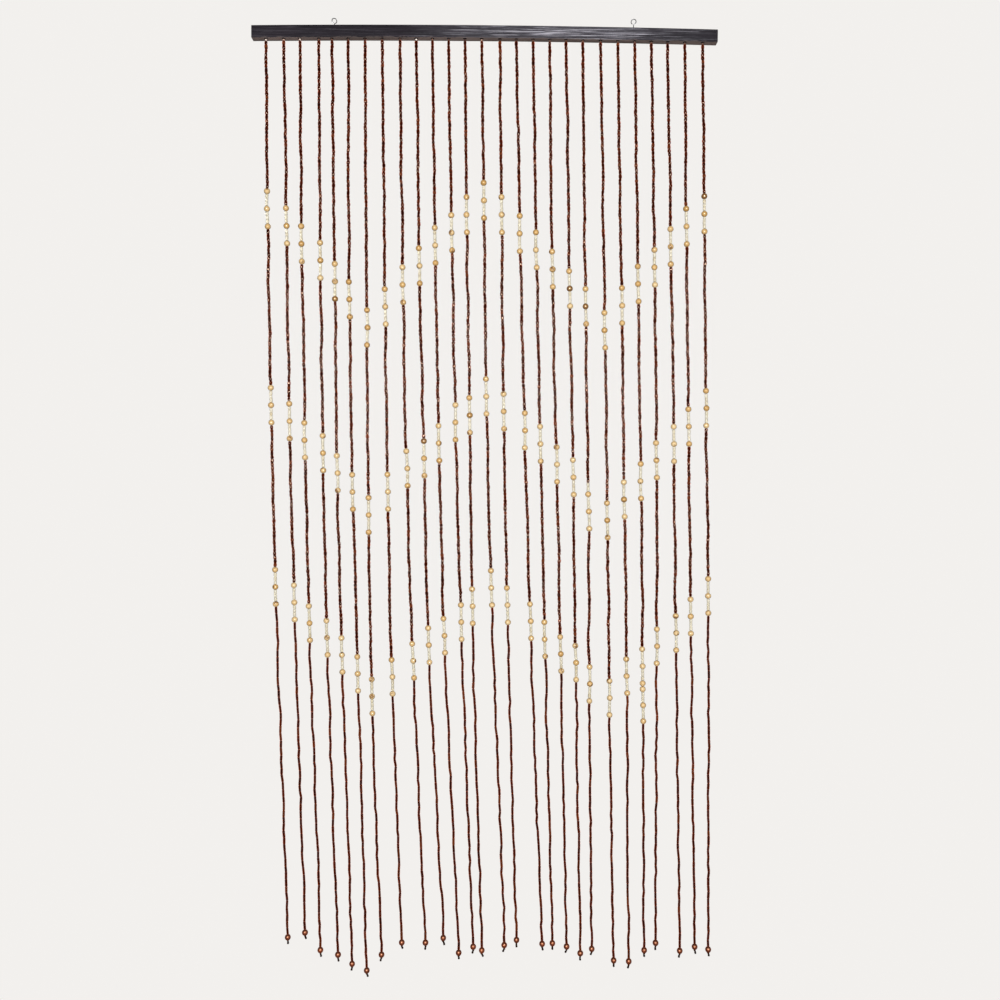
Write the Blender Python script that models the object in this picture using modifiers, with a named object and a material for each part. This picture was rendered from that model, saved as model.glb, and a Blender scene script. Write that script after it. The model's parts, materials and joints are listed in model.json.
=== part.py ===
"""Bead curtain for a doorway, in metres, +Z up, front facing -Y.

A stained wooden rail hangs from two screw eyes and carries a row of strands. Each strand is
a knotted cord of small dark wooden beads, with three groups of larger natural wooden beads that
stand in zigzag bands across the curtain, and one larger bead and a knot at its foot.
The origin is the middle of the rail's top face, midway between the screw eyes.
"""
import math

import bmesh
import bpy
from mathutils import Vector

NAME = "bead_curtain"

# The rail is a square-sawn batten that has warped a little, so that its middle stands higher.
RAIL_LENGTH = 0.900
RAIL_DEPTH = 0.018
RAIL_HEIGHT = 0.024
RAIL_CROWN = 0.004
RAIL_EASE = 0.0008
RAIL_STATIONS = 30

# A chip is missing from the rail's lower front edge.
CHIP_CENTRE_X = -0.1535
CHIP_LENGTH = 0.011
CHIP_SIDE = 0.0036

# The strands pass up through drilled holes into a groove along the rail's top.
STRAND_COUNT = 27
HOLE_PITCH = 0.0324
HOLE_ROW_SHIFT = -0.0025
HOLE_Y = -0.003
HOLE_DIAMETER = 0.0062
GROOVE_WIDTH = 0.0050
GROOVE_DEPTH = 0.0040
GROOVE_MARGIN = 0.010
CLEARANCE = 0.0003

# The header strip stands for the cord that ties all the strands' tops together in the groove.
STRIP_WIDTH = GROOVE_WIDTH - 2 * CLEARANCE
STRIP_HEIGHT = 0.0024
STRIP_MARGIN = 0.006

# Half widths of the four-sided strand along its length.
CORD_HALF = 0.0011
DARK_HALF = 0.0026
PALE_HALF = 0.0025
LOWER_HALF = 0.0022
KNOT_HALF = 0.0016
NATURAL_HALF = 0.0057
END_BEAD_HALF = 0.0056

# Lengths along the strand.
NATURAL_HALF_LENGTH = 0.0060
END_BEAD_HALF_LENGTH = 0.0064
TAIL_LENGTH = 0.0070
FIRST_BEAD_GAP = 0.0004
FIRST_BEAD_EASE = 0.0012
NATURAL_PITCH = 0.034
BEADS_PER_GROUP = 3
LONGEST_STEP = 0.20
TIP_DROP = 1.812

# Each zigzag band is a line through its turning strands. Drops in millimetres, from the origin
# down to the middle of a group's first bead.
TURNING_STRANDS = (0, 6, 13, 20, 26)
BAND_FOLDS = (
    (319, 544, 300, 546, 322),
    (702, 912, 680, 918, 700),
    (1060, 1272, 1057, 1272, 1070),
)

# How each strand differs from the even layout, in millimetres. Columns: the hole's shift along
# the rail; how far the three groups and the tip hang below the even line; how far the strand has
# drifted to the right of its hole at the three groups and at the tip.
UNEVENNESS = (
    (1, 0, -2, -2, -16, 3, 10, 19, 45),
    (3, -5, -6, -7, -24, 6, 12, 22, 44),
    (2, -8, -4, -1, 10, 4, 11, 20, 44),
    (6, -14, -14, -8, 19, 4, 10, 19, 43),
    (-1, -11, -10, -9, 39, 7, 13, 23, 45),
    (-2, -14, -8, -7, 50, 4, 12, 23, 44),
    (-2, 3, 2, 2, 19, 6, 11, 19, 40),
    (-1, -3, -11, -6, -6, 8, 15, 25, 48),
    (1, -11, -24, -8, -8, 8, 18, 32, 61),
    (0, -13, -11, -9, -16, 9, 20, 32, 66),
    (-1, -18, -8, 3, 13, 8, 18, 31, 65),
    (-2, -8, -16, 6, 0, 9, 19, 33, 62),
    (-3, -8, 3, 5, 9, 6, 15, 23, 48),
    (-3, -1, -1, -1, -4, 7, 15, 28, 62),
    (0, -9, -6, 2, -14, 6, 14, 25, 50),
    (-1, -8, -3, 3, -6, 11, 24, 39, 70),
    (-1, -12, -11, 8, -9, 11, 23, 36, 58),
    (-1, -10, -5, 6, -1, 10, 23, 35, 54),
    (-2, -8, -14, -7, 12, 13, 24, 34, 50),
    (-2, -9, 19, 4, 2, 12, 23, 29, 40),
    (0, 2, 2, 1, 27, 16, 26, 35, 51),
    (1, -9, -3, -9, 27, 15, 26, 35, 47),
    (1, -14, -3, 4, 4, 14, 25, 34, 45),
    (1, -9, -8, -2, -10, 13, 23, 29, 36),
    (0, -12, -4, 5, 4, 13, 25, 35, 52),
    (1, -14, -2, 5, -3, 9, 20, 30, 50),
    (3, -1, -2, -2, 2, 9, 19, 30, 43),
)

# One strand was threaded with a second group right under its lowest one.
DOUBLED_STRAND = 22
DOUBLED_BAND = 2
DOUBLED_START = 0.0800
DOUBLED_PITCH = 0.032

# The strands hang a little before or behind each other.
DEPTH_SWAY = 0.0022
DEPTH_TURNS_PER_STRAND = 0.37
DEPTH_TURNS_PER_METRE = 0.45

# Screw eyes: a wire ring on a short shank, turned by hand to slightly different angles.
EYE_Y = 0.0035
EYE_WIRE = 0.0015
EYE_RING_RADIUS = 0.00475
EYE_SHANK_DEPTH = 0.0100
EYE_ARC_START = -72
EYE_ARC_END = 242
EYE_ARC_STEPS = 16

# Columns: the eye's name, its place along the rail, the height of its ring's middle over the
# rail, and how many degrees it is turned about its shank.
EYES = (
    ("screw_eye_left", -0.2915, 0.0120, 24.0),
    ("screw_eye_right", 0.2885, 0.0155, -14.0),
)

MM = 0.001


def clear_scene():
    for obj in list(bpy.data.objects):
        bpy.data.objects.remove(obj, do_unlink=True)


def collection(name):
    group = bpy.data.collections.new(name)
    bpy.context.scene.collection.children.link(group)
    return group


def material(name, colour, roughness, metallic=0.0):
    mat = bpy.data.materials.new(name)
    mat.use_nodes = True
    shader = mat.node_tree.nodes["Principled BSDF"]
    shader.inputs["Base Color"].default_value = (*colour, 1.0)
    shader.inputs["Roughness"].default_value = roughness
    shader.inputs["Metallic"].default_value = metallic
    return mat


def mesh_object(name, mesh, group, mat=None):
    obj = bpy.data.objects.new(name, mesh)
    if mat:
        mesh.materials.append(mat)
    group.objects.link(obj)
    return obj


def cutter_object(name, bm, group):
    mesh = bpy.data.meshes.new(name)
    bm.to_mesh(mesh)
    bm.free()
    obj = mesh_object(name, mesh, group)
    obj.hide_render = True
    obj.display_type = "WIRE"
    return obj


def boolean(obj, cutter, operation):
    mod = obj.modifiers.new(cutter.name, "BOOLEAN")
    mod.operation = operation
    mod.solver = "EXACT"
    mod.object = cutter


def loft(bm, sections):
    """Skins a row of four-cornered sections into one closed body."""
    rings = [[bm.verts.new(corner) for corner in section] for section in sections]
    sides = len(rings[0])
    for upper, lower in zip(rings, rings[1:]):
        for k in range(sides):
            nxt = (k + 1) % sides
            bm.faces.new((upper[k], upper[nxt], lower[nxt], lower[k]))
    bm.faces.new(rings[0][::-1])
    bm.faces.new(rings[-1])


def crown(x):
    """How far the warped rail lies under its middle at x."""
    return -RAIL_CROWN * (2.0 * x / RAIL_LENGTH) ** 2


def warped_bar(bm, half_length, y_low, y_high, z_low, z_high):
    """A bar along X that follows the rail's warp."""
    sections = []
    for k in range(RAIL_STATIONS + 1):
        x = half_length * (2.0 * k / RAIL_STATIONS - 1.0)
        z = crown(x)
        sections.append((
            (x, y_low, z + z_low),
            (x, y_high, z + z_low),
            (x, y_high, z + z_high),
            (x, y_low, z + z_high),
        ))
    loft(bm, sections)
    bmesh.ops.recalc_face_normals(bm, faces=bm.faces)


def hole_x(strand):
    even = (strand - (STRAND_COUNT - 1) / 2) * HOLE_PITCH + HOLE_ROW_SHIFT
    return even + UNEVENNESS[strand][0] * MM


def along_line(position, knots, values):
    """Straight-line reading of values at knots."""
    for k in range(len(knots) - 1):
        if position <= knots[k + 1]:
            share = (position - knots[k]) / (knots[k + 1] - knots[k])
            return values[k] + (values[k + 1] - values[k]) * share
    return values[-1]


def group_drop(strand, band):
    """Drop of the middle of the first natural bead of a group."""
    even = along_line(strand, TURNING_STRANDS, BAND_FOLDS[band])
    return (even + UNEVENNESS[strand][1 + band]) * MM


def tip_drop(strand):
    return TIP_DROP + UNEVENNESS[strand][4] * MM


def natural_beads(strand, band):
    """Drops of the natural beads' middles in one group."""
    start = group_drop(strand, band)
    drops = [start + k * NATURAL_PITCH for k in range(BEADS_PER_GROUP)]
    if (strand, band) == (DOUBLED_STRAND, DOUBLED_BAND):
        second = start + DOUBLED_START
        drops += [second + k * DOUBLED_PITCH for k in range(BEADS_PER_GROUP)]
    return drops


def smooth_reading(position, knots, values):
    """A smooth curve through values at knots, with the slopes of its neighbours."""
    last = len(knots) - 1
    slopes = []
    for k in range(len(knots)):
        before = max(k - 1, 0)
        after = min(k + 1, last)
        slopes.append((values[after] - values[before]) / (knots[after] - knots[before]))
    k = 0
    while k < last - 1 and position > knots[k + 1]:
        k += 1
    span = knots[k + 1] - knots[k]
    t = min(max((position - knots[k]) / span, 0.0), 1.0)
    start_share = 2 * t ** 3 - 3 * t ** 2 + 1
    reading = start_share * values[k] + (1 - start_share) * values[k + 1]
    reading += (t ** 3 - 2 * t ** 2 + t) * span * slopes[k]
    reading += (t ** 3 - t ** 2) * span * slopes[k + 1]
    return reading


def centre(strand, drop):
    """The point where a strand hangs at a given drop below the origin."""
    x = hole_x(strand)
    drift = UNEVENNESS[strand][5:]
    knots = [RAIL_HEIGHT - crown(x)]
    knots += [group_drop(strand, band) + NATURAL_PITCH for band in range(len(BAND_FOLDS))]
    knots.append(tip_drop(strand))
    values = [0.0] + [step * MM for step in drift]
    if drop > knots[0]:
        x += smooth_reading(drop, knots, values)
    turns = strand * DEPTH_TURNS_PER_STRAND + drop * DEPTH_TURNS_PER_METRE
    swing = max(drop - knots[0], 0.0) / TIP_DROP
    y = HOLE_Y + DEPTH_SWAY * swing * math.sin(2 * math.pi * turns)
    return Vector((x, y, -drop))


def run(start, end, half):
    """Rows between two drops, close enough to follow the strand's curve."""
    steps = max(1, math.ceil((end - start) / LONGEST_STEP))
    return [(start + (end - start) * k / steps, half) for k in range(1, steps)]


def strand_rows(strand):
    """Rows of drop and half width, from the root in the groove to the tail."""
    under_rail = RAIL_HEIGHT - crown(hole_x(strand)) + FIRST_BEAD_GAP
    rows = [(under_rail, CORD_HALF), (under_rail + FIRST_BEAD_EASE, DARK_HALF)]
    for band in range(len(BAND_FOLDS)):
        drops = natural_beads(strand, band)
        rows += run(rows[-1][0], drops[0] - NATURAL_HALF_LENGTH, DARK_HALF)
        for k, drop in enumerate(drops):
            above = DARK_HALF if k == 0 else PALE_HALF
            below = DARK_HALF if k == len(drops) - 1 else PALE_HALF
            top = drop - NATURAL_HALF_LENGTH
            if top > rows[-1][0] + FIRST_BEAD_EASE:
                rows.append((top, above))
            rows.append((drop, NATURAL_HALF))
            rows.append((drop + NATURAL_HALF_LENGTH, below))
    end = tip_drop(strand)
    rows += run(rows[-1][0], end - END_BEAD_HALF_LENGTH, LOWER_HALF)
    rows.append((end - END_BEAD_HALF_LENGTH, LOWER_HALF))
    rows.append((end, END_BEAD_HALF))
    rows.append((end + END_BEAD_HALF_LENGTH, KNOT_HALF))
    rows.append((end + END_BEAD_HALF_LENGTH + TAIL_LENGTH, KNOT_HALF))
    return rows


def square_section(point, half):
    x, y, z = point
    return (
        (x - half, y - half, z),
        (x + half, y - half, z),
        (x + half, y + half, z),
        (x - half, y + half, z),
    )


def build_rail(group, cutters):
    bm = bmesh.new()
    warped_bar(bm, RAIL_LENGTH / 2, -RAIL_DEPTH / 2, RAIL_DEPTH / 2, -RAIL_HEIGHT, 0.0)
    mesh = bpy.data.meshes.new("rail")
    bm.to_mesh(mesh)
    bm.free()
    rail = mesh_object("rail", mesh, group, material("stained_batten", (0.035, 0.028, 0.030), 0.45))
    ease = rail.modifiers.new("eased_edges", "BEVEL")
    ease.width = RAIL_EASE
    ease.segments = 1
    ease.limit_method = "ANGLE"

    groove = bmesh.new()
    groove_half = RAIL_LENGTH / 2 - GROOVE_MARGIN
    y_low = HOLE_Y - GROOVE_WIDTH / 2
    warped_bar(groove, groove_half, y_low, y_low + GROOVE_WIDTH, -GROOVE_DEPTH, GROOVE_DEPTH)
    boolean(rail, cutter_object("groove_cutter", groove, cutters), "DIFFERENCE")

    holes = bmesh.new()
    for strand in range(STRAND_COUNT):
        add_drill(holes, hole_x(strand), HOLE_Y, -2 * RAIL_HEIGHT, -GROOVE_DEPTH / 2, HOLE_DIAMETER)
    for _, x, _, _ in EYES:
        low = crown(x) - EYE_SHANK_DEPTH - CLEARANCE
        add_drill(holes, x, EYE_Y, low, RAIL_HEIGHT, EYE_WIRE + 2 * CLEARANCE)
    boolean(rail, cutter_object("hole_cutter", holes, cutters), "DIFFERENCE")

    chip = bmesh.new()
    bmesh.ops.create_cube(chip, size=1.0)
    bmesh.ops.scale(chip, vec=(CHIP_LENGTH, CHIP_SIDE, CHIP_SIDE), verts=chip.verts)
    lower_edge = (CHIP_CENTRE_X, -RAIL_DEPTH / 2, crown(CHIP_CENTRE_X) - RAIL_HEIGHT)
    chip_cutter = cutter_object("chip_cutter", chip, cutters)
    chip_cutter.location = lower_edge
    chip_cutter.rotation_euler = (math.radians(38), math.radians(9), math.radians(12))
    boolean(rail, chip_cutter, "DIFFERENCE")
    return rail


def add_drill(bm, x, y, low, high, diameter):
    made = bmesh.ops.create_cone(
        bm, cap_ends=True, segments=8, radius1=diameter / 2, radius2=diameter / 2, depth=high - low)
    bmesh.ops.translate(bm, verts=made["verts"], vec=(x, y, (low + high) / 2))


def build_strands(group, cutters):
    strip = bmesh.new()
    half = RAIL_LENGTH / 2 - GROOVE_MARGIN - STRIP_MARGIN
    y_low = HOLE_Y - STRIP_WIDTH / 2
    z_low = -GROOVE_DEPTH + CLEARANCE
    warped_bar(strip, half, y_low, y_low + STRIP_WIDTH, z_low, z_low + STRIP_HEIGHT)
    mesh = bpy.data.meshes.new("strands")
    strip.to_mesh(mesh)
    strip.free()
    strands = mesh_object("strands", mesh, group, material("threaded_beads", (0.12, 0.03, 0.015), 0.35))

    threads = bmesh.new()
    for strand in range(STRAND_COUNT):
        x = hole_x(strand)
        root = Vector((x, HOLE_Y, crown(x) + z_low + STRIP_HEIGHT / 2))
        sections = [square_section(root, CORD_HALF)]
        for drop, half_width in strand_rows(strand):
            sections.append(square_section(centre(strand, drop), half_width))
        loft(threads, sections)
    bmesh.ops.recalc_face_normals(threads, faces=threads.faces)
    boolean(strands, cutter_object("thread_forms", threads, cutters), "UNION")
    return strands


def build_eye(name, x, height, turn, group, mat):
    """A wire ring whose end stops just short of its own shank."""
    points = [(0.0, -EYE_SHANK_DEPTH)]
    ring_foot = height - EYE_RING_RADIUS
    points.append((0.0, ring_foot - EYE_WIRE))
    for k in range(EYE_ARC_STEPS + 1):
        angle = math.radians(EYE_ARC_START + (EYE_ARC_END - EYE_ARC_START) * k / EYE_ARC_STEPS)
        points.append((
            EYE_RING_RADIUS * math.cos(angle),
            height + EYE_RING_RADIUS * math.sin(angle),
        ))
    curve = bpy.data.curves.new(name, "CURVE")
    curve.dimensions = "3D"
    curve.bevel_depth = EYE_WIRE / 2
    curve.bevel_resolution = 2
    curve.use_fill_caps = True
    spline = curve.splines.new("POLY")
    spline.points.add(len(points) - 1)
    for point, (along, up) in zip(spline.points, points):
        point.co = (along, 0.0, up, 1.0)
    curve.materials.append(mat)
    eye = bpy.data.objects.new(name, curve)
    group.objects.link(eye)
    eye.location = (x, EYE_Y, crown(x))
    eye.rotation_euler = (0.0, 0.0, math.radians(turn))
    return eye


def main():
    clear_scene()
    parts = collection(NAME)
    cutters = collection("cutters")
    build_rail(parts, cutters)
    build_strands(parts, cutters)
    wire = material("bright_wire", (0.55, 0.55, 0.56), 0.3, metallic=1.0)
    for name, x, height, turn in EYES:
        build_eye(name, x, height, turn, parts, wire)


main()
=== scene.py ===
# %% [markdown]
# # A wooden bead curtain
#
# This lesson dresses a bead curtain for a doorway: a stained rail, two wire screw eyes and
# twenty-seven strands threaded with small dark beads, zigzag bands of round natural beads with
# clouded pale beads between them, and one copper-brown bead with a knot at each foot.
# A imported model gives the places, and every cell below adds the real surfaces around it.
# Run the cells from top to bottom.

# %% Open the frame
import json
import math
import random

import bmesh
import bpy
import numpy as np
from mathutils import Matrix, Vector, noise

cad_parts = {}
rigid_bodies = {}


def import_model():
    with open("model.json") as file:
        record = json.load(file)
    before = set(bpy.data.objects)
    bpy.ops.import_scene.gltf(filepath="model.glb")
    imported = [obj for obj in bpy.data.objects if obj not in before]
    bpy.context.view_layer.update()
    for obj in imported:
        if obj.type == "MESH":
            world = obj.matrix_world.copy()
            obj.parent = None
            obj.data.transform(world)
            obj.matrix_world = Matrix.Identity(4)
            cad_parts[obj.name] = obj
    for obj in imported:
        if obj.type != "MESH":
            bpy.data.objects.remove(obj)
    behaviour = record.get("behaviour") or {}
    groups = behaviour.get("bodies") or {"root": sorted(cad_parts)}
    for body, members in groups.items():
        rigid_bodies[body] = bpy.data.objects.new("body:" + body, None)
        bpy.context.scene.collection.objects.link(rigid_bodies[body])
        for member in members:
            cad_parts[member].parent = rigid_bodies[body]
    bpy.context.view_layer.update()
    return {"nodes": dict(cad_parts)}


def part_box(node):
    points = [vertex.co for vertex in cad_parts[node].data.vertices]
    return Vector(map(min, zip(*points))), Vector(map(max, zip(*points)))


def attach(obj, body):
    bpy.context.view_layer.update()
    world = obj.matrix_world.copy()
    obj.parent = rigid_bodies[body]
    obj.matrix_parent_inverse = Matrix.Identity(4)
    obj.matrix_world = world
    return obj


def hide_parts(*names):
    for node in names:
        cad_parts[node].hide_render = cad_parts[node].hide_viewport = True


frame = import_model()
print("nodes:", sorted(frame["nodes"]))

# %% [markdown]
# ## Where things are
#
# The rail's own box gives its length, depth and place. It is a batten that has warped, so its
# middle stands a few millimetres higher than its ends: the box is taller than the wood by that
# crown. One short function gives the crown at any place, and everything on the rail uses it.

# %% Read the rail's size from the frame
MM = 0.001
RAIL_HEIGHT = 24 * MM
rail_low, rail_high = (Vector(corner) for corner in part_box("rail"))
RAIL_LENGTH = rail_high.x - rail_low.x
RAIL_DEPTH = rail_high.y - rail_low.y
RAIL_CROWN = rail_high.z - rail_low.z - RAIL_HEIGHT


def crown(x):
    """How far the warped rail lies under its middle at x."""
    return -RAIL_CROWN * (2.0 * x / RAIL_LENGTH) ** 2


print("rail, mm:", round(RAIL_LENGTH / MM, 1), round(RAIL_DEPTH / MM, 1), "crown", round(RAIL_CROWN / MM, 2))

# %% [markdown]
# ## The camera
#
# The curtain was seen from about two metres, a little right of its middle, with the lens just
# under half way up. The rail's underside shows, which fixes the height of the eye, and the
# strands come together a little towards the floor, which fixes the downward tilt. A picture
# measures a lens best in pixels, so the focal length is turned from pixels into millimetres.

# %% Set the camera
PICTURE_PIXELS = 1000
FOCAL_PIXELS = 1015
SENSOR = 36.0
CAMERA_PLACE = Vector((0.0383, -2.0, -0.8354))
CAMERA_TILT = math.radians(2.311)
CAMERA_ROLL = math.radians(0.54)

scene = bpy.context.scene
lens = bpy.data.cameras.new("camera")
lens.sensor_width = SENSOR
lens.lens = SENSOR * FOCAL_PIXELS / PICTURE_PIXELS
lens.clip_end = 50.0
camera = bpy.data.objects.new("camera", lens)
scene.collection.objects.link(camera)
aim = Matrix.Rotation(math.pi / 2 - CAMERA_TILT, 4, "X") @ Matrix.Rotation(CAMERA_ROLL, 4, "Z")
camera.matrix_world = Matrix.Translation(CAMERA_PLACE) @ aim
scene.camera = camera
scene.view_settings.view_transform = "Standard"
print("lens, mm:", round(lens.lens, 2))

# %% [markdown]
# ## A small kit for node trees
#
# Every finish here is a node tree, and so is the studio's world. Written out in full, such trees
# hide the idea behind links, so short helpers do the wiring: they add a node and fill its
# sockets, make a colour ramp, mix two colours, read an attribute or turn a height into bump.
# The finishes below then read like a recipe.

# %% Helpers for node trees


def blank_finish(name):
    """A material with only its Principled shader, and its tree."""
    mat = bpy.data.materials.new(name)
    mat.use_nodes = True
    return mat, mat.node_tree, mat.node_tree.nodes["Principled BSDF"]


def plug(tree, socket, value):
    """Links a value to a socket, or sets it there; a colour gets full opacity."""
    if isinstance(value, bpy.types.NodeSocket):
        tree.links.new(value, socket)
    else:
        socket.default_value = (*value, 1.0) if socket.type == "RGBA" else value


def finish_with(node, **sockets):
    """Plugs a value or a link into each named socket of a node."""
    for key, value in sockets.items():
        plug(node.id_data, node.inputs[key.replace("_", " ")], value)


def add(tree, kind, options=None, **sockets):
    """Adds a node, sets its options and plugs a value or a link into each named socket."""
    made = tree.nodes.new(kind)
    for key, value in (options or {}).items():
        setattr(made, key, value)
    finish_with(made, **sockets)
    return made


def maths(tree, operation, *values):
    made = tree.nodes.new("ShaderNodeMath")
    made.operation = operation
    for socket, value in zip(made.inputs, values):
        plug(tree, socket, value)
    return made.outputs[0]


def times(tree, first, second):
    return maths(tree, "MULTIPLY", first, second)


def attribute(tree, name, output="Fac"):
    return add(tree, "ShaderNodeAttribute", {"attribute_name": name}).outputs[output]


def ramp(tree, factor, *stops):
    """A colour ramp through (position, colour) stops."""
    made = tree.nodes.new("ShaderNodeValToRGB")
    tree.links.new(factor, made.inputs["Fac"])
    points = made.color_ramp.elements
    while len(points) < len(stops):
        points.new(0.5)
    for point, (position, colour) in zip(points, stops):
        point.position = position
        point.color = (*colour, 1.0)
    return made.outputs["Color"]


def window(tree, value, low, high):
    """0 below low, 1 above high, and a soft step between; low may be the larger."""
    soft = {"interpolation_type": "SMOOTHSTEP"}
    return add(tree, "ShaderNodeMapRange", soft, Value=value, From_Min=low, From_Max=high).outputs["Result"]


def mix(tree, factor, first, second, mode="MIX"):
    made = tree.nodes.new("ShaderNodeMix")
    made.data_type = "RGBA"
    made.blend_type = mode
    for socket, value in zip((made.inputs[0], made.inputs[6], made.inputs[7]), (factor, first, second)):
        plug(tree, socket, value)
    return made.outputs[2]


def stretched_noise(tree, where, scale, detail=4.0, distortion=0.0, roughness=0.55, turn=(0, 0, 0)):
    """Noise whose grain is stretched by giving each axis its own scale."""
    turned_by = [math.radians(a) for a in turn]
    placed = add(tree, "ShaderNodeMapping", Vector=where, Rotation=turned_by, Scale=scale).outputs[0]
    made = add(
        tree, "ShaderNodeTexNoise", Vector=placed, Scale=1.0, Detail=detail,
        Distortion=distortion, Roughness=roughness)
    return made.outputs["Fac"]


def bump(tree, shader, height, strength, distance):
    made = add(tree, "ShaderNodeBump", Height=height, Strength=strength, Distance=distance)
    finish_with(shader, Normal=made.outputs[0])


print("helpers ready")

# %% [markdown]
# ## Light
#
# A plain studio: a pale, even surround, one soft light just over the lens, a weak one from the
# right and one behind. A light near the lens puts a glint on the middle of every bead and lets
# its rim fall dark, at the rail and at the floor alike. A real wall stands far off and lights a
# rim very little, but a surround as bright as the picture's ground would turn every lacquered
# rim grey. So one world shader gives three strengths: full to the camera and to light that
# passes through the clear beads, a tenth of it to bare surfaces, and hardly any to reflections.
# The light at the back lifts the far side but makes no reflection, or every bead would get a
# white outline.

# %% Build the studio
GROUND_COLOUR = (0.890, 0.872, 0.850)
SURROUND_LIGHT = 0.10
SURROUND_GLOSS = 0.03


def studio_world():
    world = bpy.data.worlds.new("studio")
    world.use_nodes = True
    tree = world.node_tree
    tree.nodes.clear()
    path = add(tree, "ShaderNodeLightPath").outputs
    lit = add(
        tree, "ShaderNodeMapRange", Value=path["Is Glossy Ray"], To_Min=SURROUND_LIGHT, To_Max=SURROUND_GLOSS)
    seen = maths(tree, "MAXIMUM", path["Is Camera Ray"], path["Is Transmission Ray"])
    strength = add(tree, "ShaderNodeMapRange", Value=seen, To_Min=lit.outputs[0]).outputs[0]
    ground = add(tree, "ShaderNodeBackground", Color=GROUND_COLOUR, Strength=strength).outputs[0]
    add(tree, "ShaderNodeOutputWorld", Surface=ground)
    scene.world = world


def soft_light(name, place, target, size, power, reflects=True):
    light = bpy.data.lights.new(name, "AREA")
    light.shape = "SQUARE"
    light.size = size
    light.energy = power
    lamp = bpy.data.objects.new(name, light)
    scene.collection.objects.link(lamp)
    lamp.location = place
    lamp.rotation_euler = (Vector(target) - Vector(place)).to_track_quat("-Z", "Y").to_euler()
    lamp.visible_glossy = reflects


studio_world()
soft_light("key", (-0.10, -2.90, -0.55), (0, 0, -0.95), 0.6, 96)
soft_light("fill", (1.9, -1.6, -0.9), (0, 0, -0.9), 1.2, 6)
soft_light("back", (0.4, 2.3, 0.2), (0, 0, -0.9), 1.4, 55, reflects=False)

# %% [markdown]
# ## The floor
#
# The floor lies below the picture and only shows from other sides. It is a plain pale sheet
# that fades out towards its edge, so that no hard corner cuts across those views. It shines a
# little by itself, to be as pale far from the light as near it, but it gives the beads neither
# light nor reflection.

# %% Lay the floor
FLOOR_HEIGHT = -2.2
FLOOR_SIZE = (4.4, 1.9)
FLOOR_SHIFT = -0.48


def floor_paint():
    mat, tree, shader = blank_finish("floor_paint")
    where = add(tree, "ShaderNodeTexCoord").outputs["Generated"]
    axes = add(tree, "ShaderNodeSeparateXYZ", Vector=where)
    inward = [maths(tree, "PINGPONG", axes.outputs[axis], 0.5) for axis in ("X", "Y")]
    fade = times(tree, *[window(tree, share, 0.0, 0.4) for share in inward])
    finish_with(
        shader, Alpha=fade, Base_Color=(0.20, 0.196, 0.19), Roughness=0.9, Specular_IOR_Level=0.0,
        Emission_Color=(0.86, 0.84, 0.81), Emission_Strength=0.86)
    return mat


def floor_sheet():
    bm = bmesh.new()
    bmesh.ops.create_grid(bm, x_segments=12, y_segments=8, size=0.5)
    bmesh.ops.scale(bm, vec=(*FLOOR_SIZE, 1.0), verts=bm.verts)
    bmesh.ops.translate(bm, vec=(0, FLOOR_SHIFT, FLOOR_HEIGHT), verts=bm.verts)
    mesh = bpy.data.meshes.new("floor")
    bm.to_mesh(mesh)
    bm.free()
    mesh.materials.append(floor_paint())
    floor = bpy.data.objects.new("floor", mesh)
    scene.collection.objects.link(floor)
    floor.visible_diffuse = floor.visible_glossy = False


floor_sheet()
print("floor laid at, m:", FLOOR_HEIGHT)

# %% [markdown]
# ## The rail's finish
#
# The batten is softwood brushed with a near-black brown stain that dried a little shiny. Grain shows as fine
# lines along its length. Right of the middle the front face turns paler, with bright, slightly slanting
# streaks. The underside is browner and paler than the face. Partly it took less stain, and partly its colour
# is painted light for the light thrown up from the floor, while painted shade darkens its back strip. Along
# the lower edge the wood is lighter in patches. All of this depends on where a point lies on the rail, so the
# tree starts from object coordinates and takes the rail's crown off the height again.

# %% Mix the rail's stain
# A patch right of the middle of the front face where the stain turns paler and shows bright slanting streaks.
PALE_PATCH_RISE = (-0.17, 0.08)
PALE_PATCH_FALL = (0.50, 0.16)
STREAK_SLANT = 2.2
STAIN_DARK = (0.008, 0.007, 0.009)
STAIN_MID = (0.022, 0.018, 0.023)
STAIN_WORN = (0.060, 0.052, 0.062)
PALE_PATCH_COLOUR = (0.135, 0.130, 0.150)
STREAK_COLOUR = (0.72, 0.70, 0.78)
# Underside colours: partly wood that took less stain, partly painted light for the light thrown up from the
# floor. The colour after them is painted shade on the underside's back strip.
UNDERSIDE_DARK = (0.250, 0.195, 0.175)
UNDERSIDE_PALE = (0.400, 0.310, 0.285)
UNDERSIDE_SHADE_COLOUR = (0.016, 0.010, 0.010)
END_GRAIN_COLOUR = (0.030, 0.024, 0.024)
# Colour of the lighter patches along the rail's lower edge.
LOWER_EDGE_COLOUR = (0.17, 0.135, 0.125)


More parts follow.
